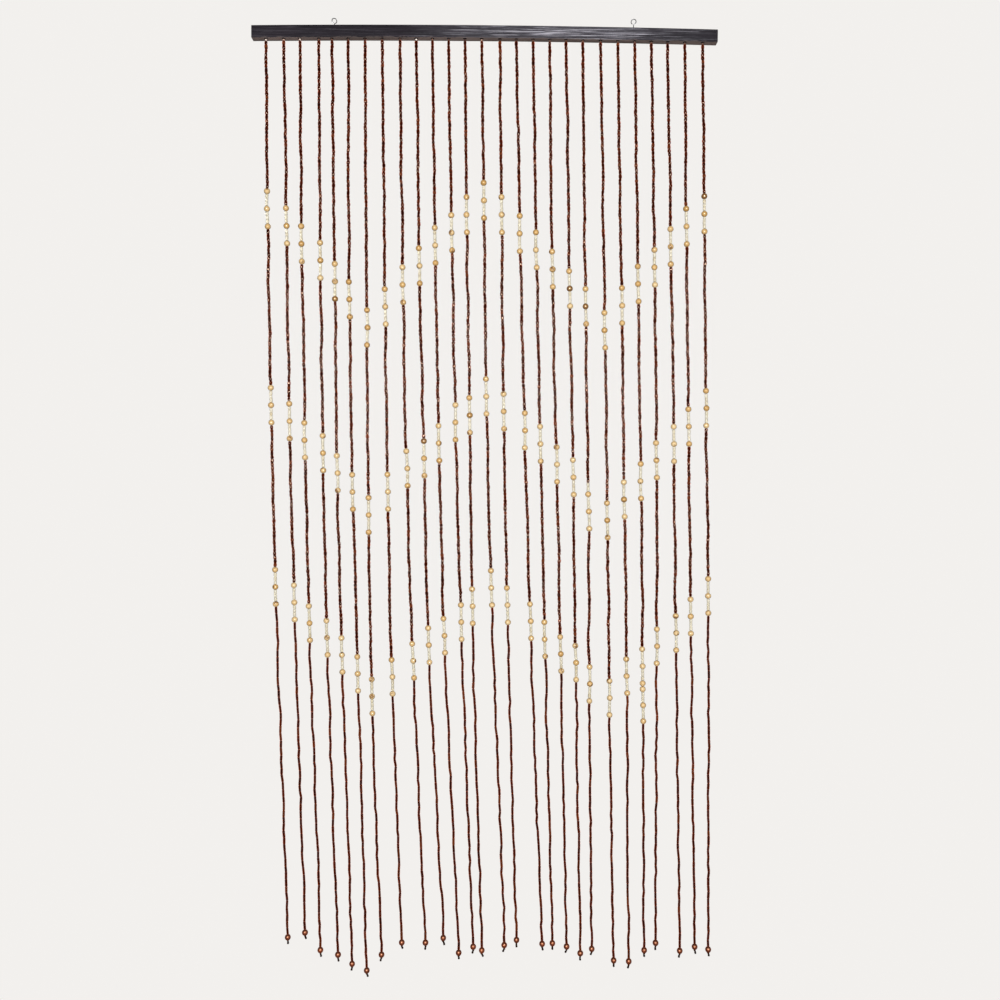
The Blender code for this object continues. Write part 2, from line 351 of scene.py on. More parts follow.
def rail_stain():
    mat, tree, shader = blank_finish("stained_softwood")
    where = add(tree, "ShaderNodeTexCoord").outputs["Object"]
    axes = add(tree, "ShaderNodeSeparateXYZ", Vector=where)
    along, depth = axes.outputs["X"], axes.outputs["Y"]
    sag = times(tree, times(tree, along, along), 4 * RAIL_CROWN / RAIL_LENGTH ** 2)
    height = maths(tree, "ADD", axes.outputs["Z"], sag)

    grain = stretched_noise(tree, where, (9, 420, 420), detail=8, distortion=0.6, roughness=0.62)
    broad = stretched_noise(tree, where, (5, 60, 60), detail=3, distortion=0.3)
    stain = ramp(tree, grain, (0.32, STAIN_DARK), (0.55, STAIN_MID), (0.78, STAIN_WORN))
    shade = ramp(tree, broad, (0.30, (0.42, 0.42, 0.44)), (0.66, (1.35, 1.33, 1.38)))
    stain = mix(tree, 1.0, stain, shade, "MULTIPLY")

    slanted = stretched_noise(tree, where, (10, 200, 880), 6, 0.9, 0.6, (0, STREAK_SLANT, 0))
    long_streaks = stretched_noise(tree, where, (5, 90, 330), 4, 1.2, 0.6, (0, STREAK_SLANT, 0))
    streaks = times(tree, window(tree, slanted, 0.50, 0.62), window(tree, long_streaks, 0.46, 0.58))
    # The pale patch with its slanting streaks, on the front face right of the middle.
    patch = times(tree, window(tree, along, *PALE_PATCH_RISE), window(tree, along, *PALE_PATCH_FALL))
    patch = maths(tree, "MULTIPLY_ADD", patch, 0.96, 0.05)
    patch = times(tree, patch, window(tree, depth, -0.0078, -0.0088))
    scratches = stretched_noise(tree, where, (55, 300, 760), 5, 0.4, 0.7, (0, STREAK_SLANT, 0))
    pale_share = times(tree, patch, ramp(tree, slanted, (0.40, (0.30,) * 3), (0.56, (1.0,) * 3)))
    pale_share = times(tree, pale_share, ramp(tree, scratches, (0.38, (0.35,) * 3), (0.60, (1.0,) * 3)))
    stain = mix(tree, times(tree, window(tree, scratches, 0.56, 0.70), 0.35), stain, STAIN_WORN)
    colour = mix(tree, pale_share, stain, PALE_PATCH_COLOUR)
    colour = mix(tree, times(tree, streaks, patch), colour, STREAK_COLOUR)

    facing = add(tree, "ShaderNodeNewGeometry").outputs["Normal"]
    normal = add(tree, "ShaderNodeSeparateXYZ", Vector=facing)
    below = window(tree, normal.outputs["Z"], -0.90, -0.98)
    # Underside: partly less stain, partly painted light from the floor below; painted shade darkens its back
    # strip.
    under = mix(tree, window(tree, broad, 0.3, 0.7), UNDERSIDE_DARK, UNDERSIDE_PALE)
    under = mix(tree, window(tree, depth, 0.0045, 0.0080), under, UNDERSIDE_SHADE_COLOUR)
    colour = mix(tree, below, colour, under)
    at_end = window(tree, maths(tree, "ABSOLUTE", normal.outputs["X"]), 0.5, 0.9)
    colour = mix(tree, at_end, colour, END_GRAIN_COLOUR)

    # The lowest few millimetres of the rail turn lighter in patches.
    edge_noise = stretched_noise(tree, where, (70, 200, 200), detail=5, distortion=0.5)
    near_edge = window(tree, height, -RAIL_HEIGHT + 0.0030, -RAIL_HEIGHT + 0.0006)
    pale_edge = times(tree, near_edge, window(tree, edge_noise, 0.44, 0.66))
    colour = mix(tree, times(tree, pale_edge, 0.55), colour, LOWER_EDGE_COLOUR)

    rough = ramp(tree, grain, (0.25, (0.50,) * 3), (0.75, (0.72,) * 3))
    finish_with(shader, Base_Color=colour, Roughness=rough, Specular_IOR_Level=0.06)
    bump(tree, shader, maths(tree, "MULTIPLY_ADD", slanted, 0.6, grain), 0.55, 0.0004)
    return mat


rail_wood = rail_stain()
print("finish:", rail_wood.name)

# %% [markdown]
# ## The rail
#
# A batten could be a scaled cube with bevels. A real one is never that true: the plane leaves it
# faintly wavy, its corners are softer in one place than another, and the drill tears the wood
# around each hole. So the bar is skinned from many sections along its length, nudged by smooth
# noise while it is still plain, bevelled, and only then drilled, which keeps the holes round.

# %% Size the drilled row and the groove
STRAND_COUNT = 27
HOLE_PITCH = 32.4 * MM
HOLE_ROW_SHIFT = -2.5 * MM
HOLE_Y = -3.0 * MM
HOLE_RADIUS = 3.1 * MM
GROOVE_WIDTH = 5.0 * MM
GROOVE_DEPTH = 4.0 * MM
GROOVE_MARGIN = 10 * MM
HOLE_SHIFTS = (1, 3, 2, 6, -1, -2, -2, -1, 1, 0, -1, -2, -3, -3, 0, -1, -1, -1, -2, -2, 0, 1, 1, 1, 0, 1, 3)


def hole_x(strand):
    even = (strand - (STRAND_COUNT - 1) / 2) * HOLE_PITCH + HOLE_ROW_SHIFT
    return even + HOLE_SHIFTS[strand] * MM


print("first and last hole, mm:", round(hole_x(0) / MM), round(hole_x(STRAND_COUNT - 1) / MM))

# %% Make the rail
RAIL_STATIONS = 90
PLANE_WAVE = 0.16 * MM
CHIP_CENTRE_X = -153.5 * MM
CHIP_LENGTH = 11 * MM
CHIP_SIDE = 3.6 * MM
MOUTH_FLARE = 0.9 * MM
SHANK_HOLE_RADIUS = 1.05 * MM


def new_piece(name, mesh, mat):
    """A finished mesh becomes a piece with its finish, and goes with the part's body."""
    piece = bpy.data.objects.new(name, mesh)
    scene.collection.objects.link(piece)
    mesh.materials.append(mat)
    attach(piece, "root")
    return piece


def warped_bar(bm, half_length, rows, lows, highs):
    """A bar along X that follows the crown; rows gives how finely its sides are divided."""
    sections = []
    (y_low, z_low), (y_high, z_high) = lows, highs
    corners = [(y_low, z_low), (y_high, z_low), (y_high, z_high), (y_low, z_high)]
    for k in range(RAIL_STATIONS + 1):
        x = half_length * (2.0 * k / RAIL_STATIONS - 1.0)
        ring = []
        for (ya, za), (yb, zb) in zip(corners, corners[1:] + corners[:1]):
            for r in range(rows):
                share = r / rows
                ring.append(bm.verts.new((x, ya + (yb - ya) * share, crown(x) + za + (zb - za) * share)))
        sections.append(ring)
    for one, two in zip(sections, sections[1:]):
        for k in range(len(one)):
            nxt = (k + 1) % len(one)
            bm.faces.new((one[k], one[nxt], two[nxt], two[k]))
    bm.faces.new(sections[0][::-1])
    bm.faces.new(sections[-1])
    bmesh.ops.recalc_face_normals(bm, faces=bm.faces)


def plain_mesh(name, bm):
    mesh = bpy.data.meshes.new(name)
    bm.to_mesh(mesh)
    bm.free()
    return mesh


def cutter(name, bm):
    tool = bpy.data.objects.new(name, plain_mesh(name, bm))
    scene.collection.objects.link(tool)
    return tool


def drill(bm, x, y, low, high, radius, sides=16, mouth=0.0):
    """A drill bit; with a mouth its lower end flares by that much."""
    made = bmesh.ops.create_cone(
        bm, cap_ends=True, segments=sides, radius1=radius + mouth, radius2=radius, depth=high - low)
    bmesh.ops.translate(bm, verts=made["verts"], vec=(x, y, (low + high) / 2))


def carve(piece, tools):
    """Cuts the tools from the piece and keeps only the result."""
    for tool in tools:
        mod = piece.modifiers.new(tool.name, "BOOLEAN")
        mod.operation = "DIFFERENCE"
        mod.solver = "EXACT"
        mod.object = tool
    shape = bpy.context.evaluated_depsgraph_get()
    carved = bpy.data.meshes.new_from_object(piece.evaluated_get(shape))
    piece.modifiers.clear()
    old = piece.data
    piece.data = carved
    bpy.data.meshes.remove(old)
    for tool in tools:
        bpy.data.objects.remove(tool)


def rail_cutters():
    groove = bmesh.new()
    half = GROOVE_WIDTH / 2
    lows, highs = (HOLE_Y - half, -GROOVE_DEPTH), (HOLE_Y + half, GROOVE_DEPTH)
    warped_bar(groove, RAIL_LENGTH / 2 - GROOVE_MARGIN, 1, lows, highs)
    holes = bmesh.new()
    mouths = bmesh.new()
    for strand in range(STRAND_COUNT):
        x = hole_x(strand)
        drill(holes, x, HOLE_Y, -2 * RAIL_HEIGHT, -GROOVE_DEPTH / 2, HOLE_RADIUS)
        low = crown(x) - RAIL_HEIGHT - 0.2 * MM
        drill(mouths, x, HOLE_Y, low, low + 1.2 * MM, HOLE_RADIUS, mouth=MOUTH_FLARE)
    for eye in ("screw_eye_left", "screw_eye_right"):
        low, high = (Vector(corner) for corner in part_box(eye))
        middle = (low + high) / 2
        drill(holes, middle.x, middle.y, low.z - 0.3 * MM, RAIL_HEIGHT, SHANK_HOLE_RADIUS)
    chip = bmesh.new()
    bmesh.ops.create_icosphere(chip, subdivisions=3, radius=0.5)
    for vert in chip.verts:
        vert.co *= 1.0 + 0.22 * noise.noise(vert.co * 5.0)
    bmesh.ops.scale(chip, vec=(CHIP_LENGTH * 1.15, CHIP_SIDE * 1.25, CHIP_SIDE * 1.25), verts=chip.verts)
    edge = (CHIP_CENTRE_X, -RAIL_DEPTH / 2, crown(CHIP_CENTRE_X) - RAIL_HEIGHT)
    lean = Matrix.Rotation(math.radians(9), 3, "Y")
    bmesh.ops.rotate(chip, cent=(0, 0, 0), matrix=lean, verts=chip.verts)
    bmesh.ops.translate(chip, vec=edge, verts=chip.verts)
    shapes = {"groove": groove, "holes": holes, "mouths": mouths, "chip": chip}
    return [cutter(name, bm) for name, bm in shapes.items()]


def make_rail():
    bm = bmesh.new()
    warped_bar(bm, RAIL_LENGTH / 2, 4, (-RAIL_DEPTH / 2, -RAIL_HEIGHT), (RAIL_DEPTH / 2, 0.0))
    middle = Vector((0, 0, -RAIL_HEIGHT / 2))
    for vert in bm.verts:
        wave = noise.noise(Vector((vert.co.x * 16, vert.co.y * 90, vert.co.z * 90)))
        inward = (middle - vert.co) * Vector((0, 1, 1))
        vert.co += inward.normalized() * PLANE_WAVE * (0.5 + 0.5 * wave)
    rail = new_piece("rail_batten", plain_mesh("rail_batten", bm), rail_wood)
    ease = rail.modifiers.new("eased_edges", "BEVEL")
    ease.width = 1.0 * MM
    ease.segments = 3
    ease.limit_method = "ANGLE"
    ease.angle_limit = math.radians(40)
    carve(rail, rail_cutters())
    rail.data.shade_smooth()
    rail.data.set_sharp_from_angle(angle=math.radians(35))
    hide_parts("rail")
    return rail


rail = make_rail()
print("rail faces:", len(rail.data.polygons))

# %% [markdown]
# ## How the strands hang
#
# No two strands hang alike. Each has its own hole, its groups sit a bead higher or lower than
# the even zigzag, and it drifts sideways on its way down. A short table holds those differences
# in whole millimetres, and the even zigzag itself is a line through its five turning strands.
# A smooth curve through the drift at the three bands and the tip gives the strand's path.

# %% Write down the hang
NATURAL_PITCH = 34 * MM
BEADS_PER_GROUP = 3
TIP_DROP = 1812 * MM
TURNING_STRANDS = (0, 6, 13, 20, 26)
BAND_FOLDS = (
    (319, 544, 300, 546, 322),
    (702, 912, 680, 918, 700),
    (1060, 1272, 1057, 1272, 1070),
)

# Columns, in millimetres: how far the three groups and the tip hang below the even line, and
# how far the strand has drifted to the right of its hole at the three groups and at the tip.
UNEVENNESS = (
    (0, -2, -2, -16, 3, 10, 19, 45),
    (-5, -6, -7, -24, 6, 12, 22, 44),
    (-8, -4, -1, 10, 4, 11, 20, 44),
    (-14, -14, -8, 19, 4, 10, 19, 43),
    (-11, -10, -9, 39, 7, 13, 23, 45),
    (-14, -8, -7, 50, 4, 12, 23, 44),
    (3, 2, 2, 19, 6, 11, 19, 40),
    (-3, -11, -6, -6, 8, 15, 25, 48),
    (-11, -24, -8, -8, 8, 18, 32, 61),
    (-13, -11, -9, -16, 9, 20, 32, 66),
    (-18, -8, 3, 13, 8, 18, 31, 65),
    (-8, -16, 6, 0, 9, 19, 33, 62),
    (-8, 3, 5, 9, 6, 15, 23, 48),
    (-1, -1, -1, -4, 7, 15, 28, 62),
    (-9, -6, 2, -14, 6, 14, 25, 50),
    (-8, -3, 3, -6, 11, 24, 39, 70),
    (-12, -11, 8, -9, 11, 23, 36, 58),
    (-10, -5, 6, -1, 10, 23, 35, 54),
    (-8, -14, -7, 12, 13, 24, 34, 50),
    (-9, 19, 4, 2, 12, 23, 29, 40),
    (2, 2, 1, 27, 16, 26, 35, 51),
    (-9, -3, -9, 27, 15, 26, 35, 47),
    (-14, -3, 4, 4, 14, 25, 34, 45),
    (-9, -8, -2, -10, 13, 23, 29, 36),
    (-12, -4, 5, 4, 13, 25, 35, 52),
    (-14, -2, 5, -3, 9, 20, 30, 50),
    (-1, -2, -2, 2, 9, 19, 30, 43),
)
DOUBLED_STRAND = 22
DOUBLED_BAND = 2
DOUBLED_START = 80 * MM
DOUBLED_PITCH = 32 * MM
DEPTH_SWAY = 2.2 * MM
DEPTH_TURNS_PER_STRAND = 0.37
DEPTH_TURNS_PER_METRE = 0.45


def group_drop(strand, band):
    even = np.interp(strand, TURNING_STRANDS, BAND_FOLDS[band])
    return (even + UNEVENNESS[strand][band]) * MM


def tip_drop(strand):
    return TIP_DROP + UNEVENNESS[strand][3] * MM


def natural_middles(strand, band):
    """Drops of the middles of the natural beads in one group."""
    start = group_drop(strand, band)
    drops = [start + k * NATURAL_PITCH for k in range(BEADS_PER_GROUP)]
    if (strand, band) == (DOUBLED_STRAND, DOUBLED_BAND):
        drops += [start + DOUBLED_START + k * DOUBLED_PITCH for k in range(BEADS_PER_GROUP)]
    return drops


def smooth_reading(position, knots, values):
    """A smooth curve through values at knots, with the slopes of its neighbours."""
    last = len(knots) - 1
    slopes = []
    for k in range(len(knots)):
        before, after = max(k - 1, 0), min(k + 1, last)
        slopes.append((values[after] - values[before]) / (knots[after] - knots[before]))
    k = 0
    while k < last - 1 and position > knots[k + 1]:
        k += 1
    span = knots[k + 1] - knots[k]
    t = min(max((position - knots[k]) / span, 0.0), 1.0)
    start_share = 2 * t ** 3 - 3 * t ** 2 + 1
    reading = start_share * values[k] + (1 - start_share) * values[k + 1]
    return reading + span * ((t ** 3 - 2 * t ** 2 + t) * slopes[k] + (t ** 3 - t ** 2) * slopes[k + 1])


def mouth_drop(strand):
    return RAIL_HEIGHT - crown(hole_x(strand))


def hang(strand, drop):
    """The point where a strand hangs at a given drop below the rail's top."""
    x = hole_x(strand)
    knots = [mouth_drop(strand)] + [group_drop(strand, band) + NATURAL_PITCH for band in range(3)]
    knots.append(tip_drop(strand))
    values = [0.0] + [step * MM for step in UNEVENNESS[strand][4:]]
    if drop > knots[0]:
        x += smooth_reading(drop, knots, values)
    turns = strand * DEPTH_TURNS_PER_STRAND + drop * DEPTH_TURNS_PER_METRE
    swing = max(drop - knots[0], 0.0) / TIP_DROP
    return Vector((x, HOLE_Y + DEPTH_SWAY * swing * math.sin(2 * math.pi * turns), -drop))


print("longest strand, m:", round(max(tip_drop(s) for s in range(STRAND_COUNT)), 3))

# %% [markdown]
# ## Threading
#
# A string of beads is a chain: each bead is stiff, and it bends only at the joints between beads.
# So the threading works with joints. It walks down a strand, sets a joint every bead length,
# pushes each joint a little off the path, and hangs one bead between each two joints. Short dark
# beads look plaited that way, and the long slim beads near the floor kink as real tubes do. The
# cord also remembers the skein it came from, so smooth noise along the drop lets every strand
# waver by a millimetre or two. The cord itself then simply runs through all the joints.

# %% Thread the strands
DARK_LENGTH = 7.4 * MM
PALE_LENGTH = 7.3 * MM
SLIM_LENGTH = 14.0 * MM
NATURAL_LENGTH = 11.5 * MM
END_LENGTH = 12.2 * MM
MOUTH_GAP = 4.4 * MM
DARK_PUSH = 0.70 * MM
SLIM_PUSH = 1.1 * MM
PALE_PUSH = 0.30 * MM
WAVER = 2.0 * MM
WAVER_PER_METRE = 13.0
PALE_LEADS = {(19, 1): 17 * MM}


def waver(strand, drop):
    """The cord's own unevenness, growing from nothing at the rail."""
    free = min(max(drop - mouth_drop(strand), 0.0) / 0.15, 1.0)
    place = Vector((strand * 7.31, drop * WAVER_PER_METRE, 0.0))
    side = noise.noise(place)
    forth = noise.noise(place + Vector((0.0, 0.0, 50.0)))
    return Vector((side, 0.5 * forth, 0.0)) * WAVER * free


def wavering(strand, drop):
    return hang(strand, drop) + waver(strand, drop)


def fill_run(strand, start, end, length, push, kind, rng):
    """Beads of one kind between two drops, as (kind, top, bottom)."""
    count = round((end - start) / length)
    if count < 1:
        return []
    joints = []
    for k in range(count + 1):
        wander = 0.18 * rng.uniform(-1, 1) if 0 < k < count else 0.0
        joint = wavering(strand, start + (end - start) * (k + wander) / count)
        if 0 < k < count:
            joint += Vector((rng.uniform(-push, push), rng.uniform(-push, push), 0.0))
        joints.append(joint)
    return [(kind, top, bottom) for top, bottom in zip(joints, joints[1:])]


def thread_strand(strand):
    rng = random.Random(100 + strand)
    drop = mouth_drop(strand) + MOUTH_GAP
    beads = []
    for band in range(3):
        middles = natural_middles(strand, band)
        lead = PALE_LEADS.get((strand, band), 0.0)
        top = middles[0] - NATURAL_LENGTH / 2
        beads += fill_run(strand, drop, top - lead, DARK_LENGTH, DARK_PUSH, f"dark_{band}", rng)
        drop = top - lead
        for middle in middles:
            top = middle - NATURAL_LENGTH / 2
            if drop < top - 2 * MM:
                beads += fill_run(strand, drop, top, PALE_LENGTH, PALE_PUSH, "pale", rng)
            drop = middle + NATURAL_LENGTH / 2
            beads.append((f"natural_{band}", beads[-1][2], wavering(strand, drop)))
    tip = tip_drop(strand)
    beads += fill_run(strand, drop, tip - END_LENGTH / 2, SLIM_LENGTH, SLIM_PUSH, "slim", rng)
    beads.append(("end", beads[-1][2], wavering(strand, tip + END_LENGTH / 2)))
    return beads


strands = [thread_strand(strand) for strand in range(STRAND_COUNT)]
kinds = sorted({kind for beads in strands for kind, _, _ in beads})
print("beads:", {kind: sum(k == kind for beads in strands for k, _, _ in beads) for kind in kinds})

# %% [markdown]
# ## Turning a bead
#
# A bead is a turned shape: a profile spun round an axis. Thousands of beads as separate objects would choke
# Blender, so each kind is turned once, as plain arrays of points and faces, and then copied along the joints
# in one step with NumPy. The copies are joined in one mesh. Each copy carries three attributes that its
# finish reads: a tone, so that neighbours differ, its own small coordinates, so that the grain runs along the
# bead and never through two of them, and how near each point lies to a bore. The finishes darken a bead near
# its bores, partly for gathered stain and lacquer and partly as painted shade at the joints and at the top
# and bottom of the round beads.

# %% Helpers that turn and string beads


def turned(profile, sides, drilled=False):
    """Points and faces of a profile of (radius, height) rows; drilled closes it through a bore."""
    rows = len(profile)
    points = []
    for radius, height in profile:
        for k in range(sides):
            angle = 2 * math.pi * k / sides
            points.append((radius * math.cos(angle), radius * math.sin(angle), height))
    faces = []
    for r in range(rows if drilled else rows - 1):
        one, two = r * sides, ((r + 1) % rows) * sides
        for k in range(sides):
            nxt = (k + 1) % sides
            faces.append((one + k, two + k, two + nxt, one + nxt))
    if not drilled:
        faces.append(tuple(range(sides)))
        faces.append(tuple((rows - 1) * sides + k for k in reversed(range(sides))))
    return np.array(points), faces


def note(mesh, name, values, kind="FLOAT", field="value"):
    """Keeps a number or a vector with each point of a mesh."""
    mesh.attributes.new(name, kind, "POINT").data.foreach_set(field, values)


def string_up(name, form, beads, width, mat, seed, spread=0.05, tones=None, gap=0.0):
    """Copies a turned form between the joints of each bead and joins the copies in one piece."""
    rng = np.random.default_rng(seed)
    points, faces = form
    count, size = len(beads), len(points)
    tops = np.array([top[:] for _, top, _ in beads])
    bottoms = np.array([bottom[:] for _, _, bottom in beads])
    lengths = np.linalg.norm(tops - bottoms, axis=1) - gap * rng.random(count) ** 14
    axis = (tops - bottoms) / np.linalg.norm(tops - bottoms, axis=1)[:, None]
    side = np.cross(axis, (0.0, 1.0, 0.0))
    side /= np.linalg.norm(side, axis=1)[:, None]
    front = np.cross(axis, side)
    turn = rng.uniform(0, 2 * math.pi, count)[:, None]
    across = side * np.cos(turn) + front * np.sin(turn)
    forth = np.cross(axis, across)
    wide = width * (1 + rng.uniform(-spread, spread, (count, 2)))
    own = np.empty((count, size, 3))
    own[:, :, 0] = points[:, 0] * wide[:, :1]
    own[:, :, 1] = points[:, 1] * wide[:, 1:]
    own[:, :, 2] = points[:, 2] * lengths[:, None]
    middle = (tops + bottoms) / 2
    placed = middle[:, None, :] + own[:, :, :1] * across[:, None, :]
    placed += own[:, :, 1:2] * forth[:, None, :] + own[:, :, 2:] * axis[:, None, :]

    mesh = bpy.data.meshes.new(name)
    loops = np.concatenate([np.array(face) for face in faces])
    totals = np.array([len(face) for face in faces])
    starts = np.concatenate([[0], np.cumsum(totals)[:-1]])
    steps = np.arange(count)[:, None]
    mesh.vertices.add(count * size)
    mesh.vertices.foreach_set("co", placed.ravel())
    mesh.loops.add(count * len(loops))
    mesh.loops.foreach_set("vertex_index", (loops[None, :] + steps * size).ravel())
    mesh.polygons.add(count * len(faces))
    mesh.polygons.foreach_set("loop_start", (starts[None, :] + steps * len(loops)).ravel())
    mesh.polygons.foreach_set("loop_total", np.tile(totals, count))
    mesh.update(calc_edges=True)
    mesh.validate()
    mesh.shade_smooth()

    tone = rng.random(count) if tones is None else tones(rng, count)
    shift = rng.uniform(-1, 1, (count, 1, 3))
    note(mesh, "tone", np.repeat(tone, size))
    note(mesh, "to_bore", np.tile(np.abs(points[:, 2]), count))
    note(mesh, "own_place", (own + shift).ravel(), "FLOAT_VECTOR", "vector")
    piece = new_piece(name, mesh, mat)
    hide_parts("strands")
    print(name, "beads:", count, "faces:", len(mesh.polygons))


def of_kind(*wanted):
    return [bead for beads in strands for bead in beads if bead[0] in wanted]


def bead_attributes(tree):
    """A bead's tone and its own coordinates, as sockets."""
    return attribute(tree, "tone"), attribute(tree, "own_place", "Vector")


# The finishes use this to darken beads near their bores: partly gathered stain and lacquer, partly painted
# shade.
def near_bores(tree, low, high):
    """0 round a bead's waist and 1 at its bores."""
    return window(tree, attribute(tree, "to_bore"), low, high)


print("bead helpers ready")

# %% [markdown]
# ## The dark beads
#
# The small beads are turned wood, dipped in a dark red-brown stain and lacquered. The dip is
# never even: some beads come out near black, some redder, some brown. The lacquer gives each a
# small glint, stronger on some than on others and strongest in the middle run. A barrel shape
# with softly rounded ends leaves a fine, dark notch at every joint.

# %% Stain and thread the dark beads
DARK_WIDTH = 6.2 * MM
# Painted shade at the joints: the colour a bead's ends take near its bores.
JOINT_SHADE_COLOUR = (0.003, 0.001, 0.001)
RED_GLOW = (1.0, 0.17, 0.04)

# Columns: the run, its widest gap between two beads, and how strongly its lacquer shines.
DARK_RUNS = (("upper", 0.4 * MM, 0.50), ("middle", 1.2 * MM, 0.92), ("lower", 0.8 * MM, 0.52))
DARK_PROFILE = (
    (0.33, 0.50), (0.41, 0.47), (0.47, 0.30), (0.50, 0.07), (0.50, -0.07),
    (0.47, -0.30), (0.41, -0.47), (0.33, -0.50))


def dark_stain(name, shine):
    mat, tree, shader = blank_finish(name)
    tone, own = bead_attributes(tree)
    dip = ramp(
        tree, tone,
        (0.0, (0.012, 0.001, 0.001)), (0.45, (0.030, 0.003, 0.001)),
        (0.80, (0.070, 0.009, 0.003)), (1.0, (0.180, 0.048, 0.018)))
    streaks = stretched_noise(tree, own, (900, 900, 160), detail=3)
    dip = mix(tree, window(tree, streaks, 0.35, 0.75), dip, (0.45, 0.40, 0.40), "MULTIPLY")
    # Painted shade: each bead's ends turn near black towards its bores, where the joints lie in shade.
    dip = mix(tree, near_bores(tree, 0.18, 0.46), dip, JOINT_SHADE_COLOUR)
    luck = maths(tree, "FRACT", times(tree, tone, 7.3))
    level = times(tree, maths(tree, "POWER", luck, 1.5), shine)
    finish_with(
        shader, Base_Color=dip, Specular_IOR_Level=level, Roughness=0.06, IOR=1.9,
        Specular_Tint=(1.0, 0.68, 0.50), Sheen_Weight=1.0, Sheen_Roughness=0.47, Sheen_Tint=RED_GLOW)
    bump(tree, shader, streaks, 0.25, 0.0002)
    return mat


dark_form = turned(DARK_PROFILE, 8)
for band, (place, gap, shine) in enumerate(DARK_RUNS):
    string_up(
        f"dark_beads_{place}", dark_form, of_kind(f"dark_{band}"), DARK_WIDTH,
        dark_stain(f"dark_dipped_wood_{place}", shine),
        seed=10 + band, spread=0.12, gap=gap)

# %% [markdown]
# ## The slim beads
#
# Below the lowest band the maker changed to longer, slimmer tubes: they cost less threading and
# make the curtain's foot swing freely. They are redder, and smooth but for the step at each
# joint. Only the profile, the width and the stain change, so the same helper strings them.

# %% Stain and thread the slim beads
SLIM_WIDTH = 5.2 * MM
SLIM_PROFILE = (
    (0.24, 0.5), (0.46, 0.465), (0.50, 0.38), (0.485, 0.0), (0.50, -0.38),
    (0.46, -0.465), (0.24, -0.5))


def slim_stain():
    mat, tree, shader = blank_finish("red_brown_tubes")
    tone, own = bead_attributes(tree)
    dip = ramp(
        tree, tone,
        (0.0, (0.012, 0.001, 0.001)), (0.35, (0.029, 0.003, 0.001)),
        (0.70, (0.056, 0.006, 0.002)), (0.85, (0.040, 0.008, 0.002)), (1.0, (0.130, 0.029, 0.007)))
    streaks = stretched_noise(tree, own, (800, 800, 70), detail=4, distortion=0.3)
    dip = mix(tree, window(tree, streaks, 0.35, 0.75), dip, (0.5, 0.45, 0.45), "MULTIPLY")
    finish_with(
        shader, Base_Color=dip, Roughness=0.5, Specular_IOR_Level=0.05, Coat_Weight=0.03,
        Coat_Roughness=0.10, Sheen_Weight=1.0, Sheen_Roughness=0.52, Sheen_Tint=RED_GLOW)
    bump(tree, shader, streaks, 0.2, 0.0002)
    return mat


string_up(
    "slim_beads", turned(SLIM_PROFILE, 8), of_kind("slim"), SLIM_WIDTH,
    slim_stain(), seed=20, spread=0.06)

# %% [markdown]
# ## The pale beads
#
# Between the round beads of a group sit small clouded beads the colour of weak tea with milk.
# They let a little light through, so against a pale wall they all but vanish: only their rims
# and joints show. That look comes from some real transmission in a milky body and a drilled
# bore that the cord shows through, not from a see-through trick.

# %% Make and thread the pale beads
PALE_WIDTH = 6.0 * MM
PALE_PROFILE = (
    (0.17, 0.49), (0.35, 0.5), (0.46, 0.42), (0.50, 0.20), (0.50, -0.20),
    (0.46, -0.42), (0.35, -0.5), (0.17, -0.49))


def clouded_resin():
    mat, tree, shader = blank_finish("clouded_resin")
    tone, own = bead_attributes(tree)
    body = ramp(tree, tone, (0.0, (0.82, 0.74, 0.54)), (0.6, (0.89, 0.83, 0.67)), (1.0, (0.74, 0.63, 0.42)))
    cloud = stretched_noise(tree, own, (260, 260, 180), detail=3)
    body = mix(tree, window(tree, cloud, 0.45, 0.75), body, (0.88, 0.85, 0.74))
    finish_with(shader, Base_Color=body, Transmission_Weight=0.30, IOR=1.42, Roughness=0.28)
    bump(tree, shader, cloud, 0.15, 0.0003)
    return mat


string_up(
    "pale_beads", turned(PALE_PROFILE, 12, drilled=True), of_kind("pale"), PALE_WIDTH,
    clouded_resin(), seed=30, spread=0.05)

# %% [markdown]
# ## The natural beads
#
# The zigzag bands are round beads of bare, lacquered wood, from straw to amber. Some were cut across a knot
# or a dark year ring and show a brown side. Each bead is darker round its bores, partly from lacquer gathered
# there and partly from painted shade where its top and bottom turn from the light. They are turned by hand
# feed, so none is a perfect ball: each copy gets its own two widths. The profile is a near circle that is
# flattened around the bore, and the bore is there to see. The lowest band was threaded from a paler batch.

# %% Finish the natural wood
NATURAL_WIDTH = 11.9 * MM
KNOT_COLOUR = (0.20, 0.080, 0.022)


def round_profile(rows, bore, flat):
    """Half a circle of rows from one bore rim to the other, then back through the bore."""
    start = math.asin(bore / 0.5)
    profile = []
    for k in range(rows):
        angle = start + (math.pi - 2 * start) * k / (rows - 1)
        height = 0.5 * math.cos(angle) / math.cos(start) * (1 - flat * math.cos(angle) ** 6)
        profile.append((0.5 * math.sin(angle), height))
    top = profile[0][1]
    profile += [(bore * 0.8, -top + 0.03), (bore * 0.8, top - 0.03)]
    return tuple(profile)


